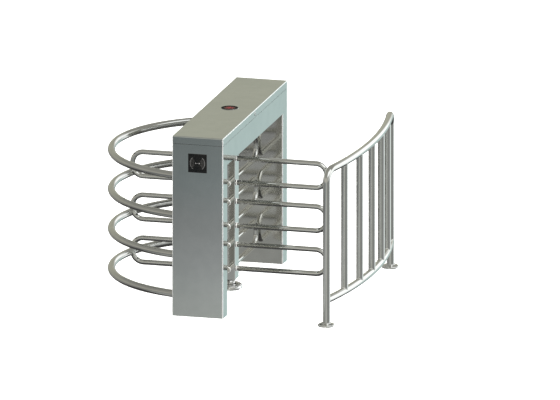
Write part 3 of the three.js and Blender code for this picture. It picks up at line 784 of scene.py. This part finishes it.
def buildColumn():
    low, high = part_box("rotor_column")
    bm = boxWithoutEnds(low, high, [upward, -upward])
    roundEdges(bm, uprightEdges(bm), rotor["corner"], rotor["cornerSegments"])
    looks = ["columnTube"]
    piece = placePiece("rotorColumn", bm, "rotor", looks, ["rotor_column"], sharp=30)
    sheetModifiers(piece, rotor["wall"])


def buildArm(wing, level):
    node = "wing_" + str(wing) + "_" + level
    low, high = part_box(node)
    sides = [abs(v) for v in (low.x, high.x, low.y, high.y)]
    reach = max(sides) - arm["tube"]
    face = min(v for v in sides if v > arm["tube"] * 1.2) - arm["gap"]
    topZ = high.z - arm["tube"]
    bottomZ = low.z + arm["tube"]
    bend, flare = arm["bend"], -outward * arm["flare"]
    straight = outward * (reach - bend - face - arm["flare"])
    bm = bmesh.new()
    edges = openRing(bm, Vector((face + arm["flare"], 0, topZ)), outward, arm["tube"], arm["sides"])
    weldFlare(bm, edges, flare, arm["flareGrow"])
    edges = runStraight(bm, edges, straight, arm["steps"])
    pivot = Vector((reach - bend, 0, topZ - bend))
    edges = runBend(bm, edges, pivot, along, math.pi / 2, arm["bendSteps"])
    edges = runStraight(bm, edges, -upward * (topZ - bottomZ - 2 * bend))
    pivot = Vector((reach - bend, 0, bottomZ + bend))
    edges = runBend(bm, edges, pivot, along, math.pi / 2, arm["bendSteps"])
    edges = runStraight(bm, edges, -straight, arm["steps"])
    weldFlare(bm, edges, flare, arm["flareGrow"])
    capHoles(bm)
    swing = Matrix.Rotation(2 * math.pi * (wing - 1) / arm["wings"], 3, "Z")
    bmesh.ops.rotate(bm, verts=bm.verts, cent=(0, 0, 0), matrix=swing)
    name = "arm" + str(wing) + level.capitalize()
    placePiece(name, bm, "rotor", ["bentTube", "weldBeadPaintedHighlight"], [node])


buildColumn()
for wing in range(1, arm["wings"] + 1):
    for level in arm["levels"]:
        buildArm(wing, level)

# (radius, height) in millimetres of the floor puck, its seal and the spindle above it
puck = {
    "base": [(0, 0), (65.2, 0), (66, 0.8), (66, 19.5), (65.0, 21.0), (62.6, 21.6), (62.6, 22.6), (61.2, 24.2),
             (57, 26.2), (52, 27), (38.0, 27), (37.2, 26.2), (36.2, 25.6), (36.2, 7)],
    "seal": [(36.0, 20), (36.0, 26.2), (34.0, 27.2), (31.2, 27.6), (30.4, 27.0), (30.4, 20)],
    "spindle": [(22, 7.3), (22, 26), (29.2, 28.2), (30, 29.0), (30, 45), (31.5, 47.5), (35, 50), (35.6, 52),
                (35.6, 56)],
    "screws": 6, "screwCircle": 45, "screwRadius": 3.6, "screwSides": 20, "screwFoot": 26.6,
    "screwHead": [(1.4, 0.86), (0.3, 0.55)],  # rise and shrink of each step
    "socket": 1.2,
    "plate": 14, "plateCorner": 2, "steps": 112,
}


def buildPuck():
    foot = Vector((0, 0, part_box("floor_bearing_base")[0].z))
    bm = bmesh.new()
    turnProfile(bm, puck["base"], foot, puck["steps"])
    placePiece("floorPuck", bm, "housing", ["brightTurned"], ["floor_bearing_base"])
    seal = bmesh.new()
    turnProfile(seal, puck["seal"], foot, puck["steps"])
    placePiece("floorPuckSeal", seal, "housing", ["sealRubber"], ())
    screws = bmesh.new()
    for k in range(puck["screws"]):
        angle = 2 * math.pi * (k + 0.5) / puck["screws"]
        head = Vector((math.cos(angle), math.sin(angle), 0)) * puck["screwCircle"] * mm
        head += foot + upward * puck["screwFoot"] * mm
        edges = openRing(screws, head, upward, puck["screwRadius"] * mm, puck["screwSides"])
        for rise, shrink in puck["screwHead"]:
            edges = runStraight(screws, edges, upward * rise * mm)
            bmesh.ops.scale(
                screws, verts=vertsOf(edges), vec=(shrink, shrink, 1), space=Matrix.Translation(-head)
            )
        runStraight(screws, edges, -upward * puck["socket"] * mm)
    capHoles(screws)
    placePiece("floorPuckScrews", screws, "housing", ["machinedSteel"], ())
    spindle = bmesh.new()
    turnProfile(spindle, puck["spindle"], Vector((0, 0, 0)), puck["steps"])
    capHoles(spindle)
    low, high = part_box("foot_spindle")
    plate = edgesOf(cubeBetween(spindle, Vector((low.x, low.y, high.z - puck["plate"] * mm)), high.copy()))
    upright = [e for e in plate if abs(e.verts[0].co.z - e.verts[1].co.z) > 1 * mm]
    roundEdges(spindle, upright, puck["plateCorner"] * mm, 4)
    placePiece("footSpindle", spindle, "rotor", ["brightTurned"], ["foot_spindle"])


buildPuck()
print("rotor built")

# Reader: dark window with arcs either side of a card mark
reader = {
    "corner": 1.2 * mm, "recess": 1.4 * mm, "border": 3.5 * mm, "lift": 0.15 * mm,
    "arcs": [(40.0, 3.4, 50, "readerMark"), (33.4, 2.4, 46, "readerMarkDim"), (27.4, 2.4, 43, "readerMarkDim"),
             (21.4, 2.4, 40, "readerMarkDim")],
    "arcSteps": 20, "dots": (7.0, 6.0), "dotPlace": 10.0, "link": (7.0, 2.2), "dotDepth": 0.1 * mm,
    "dotRound": 0.45,
    "slope": 0.6 * mm, "gap": 0.1 * mm, "near": 1e-6,
}


def buildReader():
    low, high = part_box("reader_window")
    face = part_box("front_leg")[0].y
    near = reader["near"]
    bm = bmesh.new()
    cubeBetween(bm, Vector((low.x, low.y, low.z)), Vector((high.x, face - reader["gap"], high.z)))
    front = [f for f in bm.faces if f.normal.y < -0.9]
    bmesh.ops.inset_region(bm, faces=front, thickness=reader["border"], depth=0)
    bmesh.ops.inset_region(bm, faces=front, thickness=reader["slope"], depth=-reader["recess"])
    outer = [e for e in bm.edges if all(abs(v.co.y - low.y) < near for v in e.verts)
             and any(abs(v.co.x - low.x) < near or abs(v.co.x - high.x) < near for v in e.verts)]
    corners = [e for e in bm.edges if abs(e.verts[0].co.y - e.verts[1].co.y) > 1.5 * mm]
    roundEdges(bm, outer + corners, reader["corner"], 3)
    placePiece("readerWindow", bm, "housing", ["readerGlass"], ["reader_window"])
    centre = (low + high) / 2
    glass = low.y + reader["recess"] - reader["lift"]
    hub = Vector((centre.x, glass, centre.z))
    for finishName in ("readerMark", "readerMarkDim", "readerDot"):
        marks = bmesh.new()
        for radius, width, half, ownFinish in reader["arcs"]:
            if ownFinish != finishName:
                continue
            for side in (1, -1):
                start = Matrix.Rotation(math.radians(half), 3, "Y") @ Vector((side, 0, 0))
                ends = [marks.verts.new(hub + start * (radius + way * width / 2) * mm) for way in (-1, 1)]
                edge = marks.edges.new(ends)
                spinRound(marks, [*ends, edge], hub, along, -math.radians(2 * half), reader["arcSteps"])
        if finishName == "readerDot":
            for place, (long, tall) in ((-1, reader["dots"]), (0, reader["link"]), (1, reader["dots"])):
                at = Vector((centre.x + place * reader["dotPlace"] * mm, glass, centre.z))
                half = Vector((long / 2 * mm, 0, tall / 2 * mm))
                plate = cubeBetween(marks, at - half - along * reader["dotDepth"], at + half)
                upright = [e for e in edgesOf(plate) if abs(e.verts[0].co.y - e.verts[1].co.y) > 0.05 * mm]
                roundEdges(marks, upright, tall * reader["dotRound"] * mm, 5)
        # the arcs are open strips, and all of them must face out of the window
        flat = [f for f in marks.faces if f.normal.y > 0.5 and f.calc_center_median().y > glass - 0.05 * mm]
        bmesh.ops.reverse_faces(marks, faces=[f for f in flat if any(e.is_boundary for e in f.edges)])
        placePiece(finishName + "s", marks, "housing", [finishName], (), recalc=False)


buildReader()

# Passage indicator: black bezel in a thin bright rim, red lens, lamp dots in an arrow
indicator = {
    "bezel": [(35.8, -13), (39.7, -13), (39.7, 0.2), (46.8, 0.2), (46.9, 0.6), (46.4, 1.2), (45.9, 1.5), (45.2, 1.6),
              (38.6, 1.5), (37.2, 1.1), (36.0, 0.5), (35.8, 0), (35.8, -13)],
    "rim": 45.6,
    "ring": [(30.6, 0.62), (31.2, 0.80), (35.2, 0.55), (35.7, 0.2), (35.7, -12), (30.6, -12), (30.6, 0.62)],
    "lens": [(0, 0.9), (12, 0.85), (24, 0.7), (30.4, 0.5), (30.5, -12), (0, -12)],
    "dotPitch": 5.4, "dotRadius": 1.9, "dotLift": 1.05, "dotSides": 12, "steps": 72,
    "arrow": ["...#...", "..##...", ".######", "#######", ".######", "..##...", "...#..."],
}


def buildIndicator():
    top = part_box("lid_cover")[1].z
    foot = Vector((0, 0, top))
    for name, key, finishName, node, slot in (
        ("indicatorBezel", "bezel", "bezelPlastic", "indicator_bezel", "black_plastic"),
        ("indicatorRing", "ring", "bezelPlastic", None, "black_plastic"),
        ("indicatorLens", "lens", "redLens", "indicator_lens", "indicator_red"),
    ):
        bm = bmesh.new()
        turnProfile(bm, indicator[key], foot, indicator["steps"])
        for f in bm.faces:
            f.material_index = 1 if f.calc_center_median().xy.length > indicator["rim"] * mm else 0
        placePiece(name, bm, "lid", [finishName, "brightTurned"], [node] if node else ())
    dots = bmesh.new()
    rows = indicator["arrow"]
    half = (len(rows) - 1) / 2
    for row, line in enumerate(rows):
        for column, mark in enumerate(line):
            if mark != "#":
                continue
            x = (column - (len(line) - 1) / 2) * indicator["dotPitch"] * mm
            y = (half - row) * indicator["dotPitch"] * mm
            bmesh.ops.create_circle(
                dots, cap_ends=True, segments=indicator["dotSides"], radius=indicator["dotRadius"] * mm,
                matrix=Matrix.Translation(foot + Vector((x, y, indicator["dotLift"] * mm))),
            )
    placePiece("indicatorDots", dots, "lid", ["ledDot"], ())


buildIndicator()

# Lid lock: bright collar and slotted plug in the lid's passage side
lock = {
    "collar": [(5.4, -24), (9, -24), (9, 0.2), (11, 0.2), (11, 0.7), (10.4, 1.3), (9.2, 1.8), (7.4, 2.0), (5.9, 1.9),
               (5.4, 1.4), (5.4, -24)],
    "plug": [(0, -26.8), (4.9, -26.8), (4.9, 1.0), (4.5, 1.4), (0, 1.4)],
    "slot": (7.0, 1.3, 1.0, 1.55), "cam": (5, 2.7, 4, 11), "steps": 48,
}


def buildLock():
    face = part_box("front_leg")[1].x
    centre = Vector((face, 0, middle("lock_barrel").z))
    lay = Matrix.Translation(centre) @ Matrix.Rotation(math.pi / 2, 4, "Y")
    collar = bmesh.new()
    turnProfile(collar, lock["collar"], Vector((0, 0, 0)), lock["steps"])
    bmesh.ops.transform(collar, verts=collar.verts, matrix=lay)
    placePiece("lockCollar", collar, "lid", ["brightTurned"], ["lock_barrel"])
    low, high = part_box("lock_plug")
    plug = bmesh.new()
    turnProfile(plug, lock["plug"], Vector((0, 0, 0)), lock["steps"])
    bmesh.ops.transform(plug, verts=plug.verts, matrix=lay)
    half, thick, hook, reach = (v * mm for v in lock["cam"])
    camTop = Vector((low.x + thick, high.y, centre.z + half))
    cubeBetween(plug, Vector((low.x, -half, centre.z - half)), camTop)
    hookTop = Vector((low.x + reach, high.y, centre.z + half))
    cubeBetween(plug, Vector((low.x, high.y - hook, centre.z - half)), hookTop)
    placePiece("lockPlug", plug, "lock", ["machinedSteel"], ["lock_plug"])
    slot = bmesh.new()
    long, tall, foot, top = (v * mm for v in lock["slot"])
    slotLow, slotHigh = Vector((foot, -long / 2, -tall / 2)), Vector((top, long / 2, tall / 2))
    cubeBetween(slot, centre + slotLow, centre + slotHigh)
    placePiece("lockKeySlot", slot, "lock", ["blackPlastic"], ())


buildLock()
print("reader, indicator and lock built")

# Control board: green plate on steel standoffs with terminal blocks, a chip, two capacitors and a relay
board = {
    "plate": (9.7, 2.0), "soft": 0.5, "softShare": 0.3, "steps": 32,
    "standoffs": [(8, 8), (116, 8), (8, 172), (116, 172)],
    "standoff": [(0, 0), (4, 0), (4, 9.7), (0, 9.7)],
    "screw": [(0, 11.7), (3.5, 11.7), (3.5, 12.8), (2.9, 13.8), (1.2, 14.1), (1.1, 13.2), (0, 13.2)],
    "terminals": [(96, 14), (96, 50), (96, 86)], "terminal": (26, 28, 12.8), "ways": 4, "wayAt": 0.42,
    "wayScrew": [(0, 24.4), (2.2, 24.4), (2.2, 24.9), (1.9, 25.2), (0, 25.2)],
    "chip": (32, 70, 34, 34, 4.3), "pins": 10, "pin": (2.4, 0.9, 0.5),
    "relay": (4, 120, 38, 34, 18.3), "capacitors": [(18, 30), (18, 50)],
    "canTop": 6.6,
    "sleeve": [(0, 11.7), (7.6, 11.7), (8, 12.1), (8, 27.0), (7.5, 27.7), (6.6, 27.7), (6.6, 27.4), (0, 27.4)],
}


def buildBoard():
    low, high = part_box("control_board")

    def block(bm, x, y, z, size):
        corner = low + Vector((x, y, z)) * mm
        verts = cubeBetween(bm, corner, low + Vector((x + size[0], y + size[1], z + size[2])) * mm)
        roundEdges(bm, edgesOf(verts), min(board["soft"], min(size) * board["softShare"]) * mm, 2)

    def turned(bm, key, x, y):
        turnProfile(bm, board[key], low + Vector((x, y, 0)) * mm, board["steps"])

    bottom, thick = board["plate"]
    top = bottom + thick
    plate = bmesh.new()
    block(plate, 0, 0, bottom, ((high.x - low.x) / mm, (high.y - low.y) / mm, thick))
    placePiece("boardPlate", plate, "housing", ["boardGreen"], ["control_board"])
    metal = bmesh.new()
    for x, y in board["standoffs"]:
        turned(metal, "standoff", x, y)
        turned(metal, "screw", x, y)
    blocks = bmesh.new()
    long, wide, tall = board["terminal"]
    for x, y in board["terminals"]:
        block(blocks, x, y, top, board["terminal"])
        for way in range(board["ways"]):
            turned(metal, "wayScrew", x + long * board["wayAt"], y + wide * (way + 0.5) / board["ways"])
    x, y, chipLong, chipWide, _ = board["chip"]
    for pin in range(board["pins"]):
        pinY = y + chipWide * (pin + 0.5) / board["pins"]
        block(metal, x - board["pin"][0], pinY, top, board["pin"])
        block(metal, x + chipLong, pinY, top, board["pin"])
    placePiece("boardMetal", metal, "housing", ["brightTurned"], ())
    placePiece("boardTerminals", blocks, "housing", ["terminalBlue"], ())
    black = bmesh.new()
    for key in ("chip", "relay"):
        x, y, *size = board[key]
        block(black, x, y, top, size)
    for x, y in board["capacitors"]:
        turned(black, "sleeve", x, y)
    for f in black.faces:
        at = f.calc_center_median() - low
        radius = min((at - Vector((x, y, 0)) * mm).xy.length for x, y in board["capacitors"])
        f.material_index = 1 if radius < board["canTop"] * mm and f.normal.z > 0.5 else 0
    placePiece("boardParts", black, "housing", ["blackPlastic", "machinedSteel"], ())


buildBoard()

# Socket screws through the head plate and the bearing flange
capScrew = {
    "profile": [(0, 0), (6.5, 0), (6.5, 5.4), (5.9, 6.2), (3.3, 6.2), (3.0, 5.9), (3.0, 3.0), (0, 3.0)],
    "plate": [(104, -218), (104, 0), (104, 218), (-104, 0), (-104, 218)],
    "flange": [(43, 43), (-43, 43), (-43, -43), (43, -43)], "flangeThick": 10, "steps": 24,
}


def buildCapScrews():
    bm = bmesh.new()
    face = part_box("mounting_plate")[1].z
    for key, height in (("plate", face), ("flange", face + capScrew["flangeThick"] * mm)):
        for x, y in capScrew[key]:
            turnProfile(bm, capScrew["profile"], Vector((x * mm, y * mm, height)), capScrew["steps"])
    placePiece("capScrews", bm, "housing", ["brightTurned"], ())


buildCapScrews()

# Copper wire wound on each lock coil, between the end plates of its yoke
winding = {"inner": 12, "radius": 19.2, "wire": 0.7, "turns": 26, "ends": 5.4, "drop": 23, "steps": 48,
           "wireShape": [(0.8, 0.2), (1, 0.5), (0.8, 0.8), (0, 1)]}  # bulge and place along one turn


def buildWinding(side):
    low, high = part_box("solenoid_" + side)
    long = (high.y - low.y) / mm
    start, end = winding["ends"], long - winding["ends"]
    pitch = (end - start) / winding["turns"]
    radius = winding["radius"]
    points = [(winding["inner"], start), (radius, start)]
    for turn in range(winding["turns"]):
        foot = start + turn * pitch
        for bulge, place in winding["wireShape"]:
            points.append((radius + winding["wire"] * bulge, foot + pitch * place))
    points += [(winding["inner"], end), (winding["inner"], start)]
    bm = bmesh.new()
    turnProfile(bm, points, Vector((0, 0, 0)), winding["steps"])
    foot = Vector(((low.x + high.x) / 2, low.y, high.z - winding["drop"] * mm))
    lay = Matrix.Translation(foot) @ Matrix.Rotation(-math.pi / 2, 4, "X")
    bmesh.ops.transform(bm, verts=bm.verts, matrix=lay)
    placePiece("coilWinding_" + side, bm, "housing", ["coilWinding"], ())


for side in ("a", "b"):
    buildWinding(side)
print("board, screws and coil windings built")

# CAD pieces that keep their own shape take a finish by their material slot
nodeFinish = {
    "machined_steel": "machinedSteel",
    "bright_turned": "brightTurned",
    "polished_column": "columnTube",
    "black_plastic": "blackPlastic",
    "board_green": "boardGreen",
    "zinc_case": "zincCase",
    "coil": "machinedSteel",
}
slotOf = {part["node"]: part["material_slot"] for part in frame["record"]["subparts"]}
for node, piece in frame["nodes"].items():
    if piece.hide_render:
        continue
    finishName = nodeFinish.get(slotOf.get(node))
    if finishName:
        piece.data.materials.clear()
        piece.data.materials.append(finishes[finishName])

# Stage: pale floor, a toned card in front that only reflections see, the studio round it, soft lights
stage = {
    "floorSize": 60, "floorColour": (0.93, 0.93, 0.93), "floorCloud": 0.985, "floorGlow": 0.85,
    "keySize": 4.5, "keyPower": 420, "keyPlace": (2.6, -2.2, 4.6),
    "fillSize": 5.0, "fillPower": 260, "fillPlace": (-4.2, -1.2, 3.6),
}

# Tones of the studio by heading, in degrees from +X towards +Y: one ring below the horizon, one above
studio = {
    "strength": 1.4,
    "lowRing": [(-180, (0.26, 0.26, 0.25)), (-135, (0.28, 0.29, 0.28)), (-104, (0.31, 0.32, 0.31)),
                (-97, (0.60, 0.61, 0.58)), (-84, (0.60, 0.61, 0.58)), (-72, (0.33, 0.34, 0.32)),
                (-30, (0.25, 0.26, 0.25)), (4, (0.26, 0.27, 0.27)), (26, (0.50, 0.52, 0.52)),
                (36, (1.15, 1.2, 1.2)), (58, (1.15, 1.2, 1.2)), (68, (0.53, 0.65, 0.635)),
                (88, (0.53, 0.65, 0.635)), (100, (0.24, 0.24, 0.22)), (140, (0.30, 0.30, 0.28)),
                (180, (0.26, 0.26, 0.25))],
    "highRing": [(-180, (0.42, 0.41, 0.37)), (-120, (0.48, 0.47, 0.42)), (-105, (0.62, 0.61, 0.555)),
                 (-60, (0.45, 0.45, 0.41)), (-25, (0.46, 0.47, 0.45)), (0, (0.85, 0.88, 0.88)),
                 (16, (1.35, 1.38, 1.38)), (80, (1.35, 1.38, 1.38)), (90, (0.42, 0.42, 0.36)),
                 (104, (0.45, 0.45, 0.37)), (150, (0.42, 0.42, 0.36)), (180, (0.42, 0.41, 0.37))],
    "zenith": (0.33, 0.33, 0.30), "nadir": (0.07, 0.07, 0.07),
    "horizon": (-0.16, 0.06), "overhead": (0.31, 0.52), "underfoot": (-0.48, -0.29),
}

# A tall bright panel in front, to the passage side and up: heading, sine of elevation, tone
panel = {"from": -66, "to": 14, "low": 0.44, "high": 0.92, "soft": 0.05, "turnSoft": 0.0125,
         "tone": (1.3, 1.33, 1.33)}

# Tone of the front card by distance in front of the rotor, and how much it gains across
card = {
    "left": -1.9, "right": 0.32, "near": -0.63, "far": -5.6, "height": -0.02,
    "gain": 0.13, "span": 0.3, "lean": 0.27, "front": -0.65, "least": 0.4,
    "tones": [(-5.6, (0.185, 0.205, 0.207)), (-4.26, (0.201, 0.222, 0.223)), (-3.48, (0.229, 0.251, 0.255)),
              (-2.66, (0.28, 0.288, 0.289)), (-1.83, (0.348, 0.357, 0.357)), (-1.42, (0.381, 0.394, 0.389)),
              (-0.63, (0.436, 0.447, 0.43))],
}


def stageSheet(name, segments, size, lay, material):
    bm = bmesh.new()
    bmesh.ops.create_grid(bm, x_segments=segments, y_segments=segments, size=size)
    bmesh.ops.transform(bm, verts=bm.verts, matrix=lay)
    mesh = bpy.data.meshes.new(name)
    bm.to_mesh(mesh)
    bm.free()
    mesh.materials.append(material)
    sheet = bpy.data.objects.new(name, mesh)
    turnstileScene.collection.objects.link(sheet)
    return sheet


def buildFloor():
    material, start = openTree("floorPale")
    cloud = noise(start, surfacePlace(start), 0.8, 3.0)
    pale = stage["floorColour"]
    colour = cloud.blendColours(pale, tuple(c * stage["floorCloud"] for c in pale))
    principled(start, {
        "Base Color": colour, "Roughness": 0.9, "Specular IOR Level": 0.0, "Emission Color": colour,
        "Emission Strength": stage["floorGlow"],
    })
    floor = stageSheet("floor", 8, stage["floorSize"] / 2, Matrix.Identity(4), material)
    floor.visible_glossy = False


def buildReflectionCard():
    material, start = openTree("cardTone")
    place = start.grow("ShaderNodeTexCoord", output="Object")
    x, y = place.part("X"), place.part("Y")
    reach = card["near"] - card["far"]
    tone = ((y - card["far"]) / reach).ramp([((at - card["far"]) / reach, c) for at, c in card["tones"]])
    gain = 1 + (x - card["lean"] * (y - card["front"])) * (card["gain"] / card["span"])
    strength = gain.clampLow(card["least"])
    closeTree(start, start.grow("ShaderNodeEmission", {}, {"Color": tone, "Strength": strength}))
    centre = Vector(((card["left"] + card["right"]) / 2, (card["near"] + card["far"]) / 2, card["height"]))
    size = Vector((card["right"] - card["left"], card["near"] - card["far"], 1))
    lay = Matrix.Translation(centre) @ Matrix.Diagonal((*size, 1))
    sheet = stageSheet("reflectionCard", 2, 0.5, lay, material)
    for ray in ("camera", "diffuse", "shadow", "transmission"):
        setattr(sheet, "visible_" + ray, False)


def buildWorld():
    world = bpy.data.worlds.new("studio")
    turnstileScene.world = world
    world.use_nodes = True
    world.node_tree.nodes.clear()
    start = Signal(world.node_tree)
    heading = start.grow("ShaderNodeTexCoord", output="Generated")
    x, y, z = heading.part("X"), heading.part("Y"), heading.part("Z")
    turn = y.maths("ARCTAN2", y, x) / (2 * math.pi) + 0.5
    scale = 1 / studio["strength"]

    def tone(colour):
        return tuple(c * scale for c in colour)

    def ring(stops):
        return turn.ramp([((degrees + 180) / 360, tone(colour)) for degrees, colour in stops])

    def between(signal, low, high, soft):
        return signal.step(low - soft, low + soft) * (1 - signal.step(high - soft, high + soft))

    sides = z.step(*studio["horizon"]).blendColours(ring(studio["lowRing"]), ring(studio["highRing"]))
    upper = z.step(*studio["overhead"]).blendColours(sides, tone(studio["zenith"]))
    whole = z.step(*studio["underfoot"]).blendColours(tone(studio["nadir"]), upper)
    panelSpan = between(turn, (panel["from"] + 180) / 360, (panel["to"] + 180) / 360, panel["turnSoft"])
    panelMask = panelSpan * between(z, panel["low"], panel["high"], panel["soft"])
    whole = panelMask.blendColours(whole, tone(panel["tone"]))
    light = start.grow("ShaderNodeBackground", {}, {"Color": whole, "Strength": studio["strength"]})
    start.grow("ShaderNodeOutputWorld", {}, {"Surface": light})


def addSoftbox(name, size, power, place, aim):
    lamp = bpy.data.lights.new(name, "AREA")
    lamp.shape = "SQUARE"
    lamp.size = size
    lamp.energy = power
    lightObject = bpy.data.objects.new(name, lamp)
    turnstileScene.collection.objects.link(lightObject)
    lightObject.location = place
    lightObject.visible_glossy = False
    lightObject.rotation_euler = (aim - Vector(place)).to_track_quat("-Z", "Y").to_euler()


buildFloor()
buildReflectionCard()
buildWorld()
aimPoint = (cadBox[0] + cadBox[1]) / 2
addSoftbox("keyBox", stage["keySize"], stage["keyPower"], stage["keyPlace"], aimPoint)
addSoftbox("fillBox", stage["fillSize"], stage["fillPower"], stage["fillPlace"], aimPoint)

# Camera: level lens far off, so parallel edges stay parallel
camera = {"azimuth": 15.2, "elevation": 14.4, "aimAcross": 0.2666, "aimUp": 0.4656, "width": 2.966,
          "distance": 26.0, "clipEnd": 200}


def buildCamera():
    a = math.radians(camera["azimuth"])
    e = math.radians(camera["elevation"])
    back = Vector((math.sin(a) * math.cos(e), -math.cos(a) * math.cos(e), math.sin(e)))
    right = Vector((math.cos(a), math.sin(a), 0))
    above = back.cross(right)
    lens = bpy.data.cameras.new("camera")
    lens.type = "ORTHO"
    lens.ortho_scale = camera["width"]
    lens.clip_end = camera["clipEnd"]
    eye = bpy.data.objects.new("camera", lens)
    turnstileScene.collection.objects.link(eye)
    eye.location = right * camera["aimAcross"] + above * camera["aimUp"] + back * camera["distance"]
    eye.rotation_euler = back.to_track_quat("Z", "Y").to_euler()
    turnstileScene.camera = eye


buildCamera()
turnstileScene.view_settings.view_transform = "Standard"
print("stage, lights and camera set")
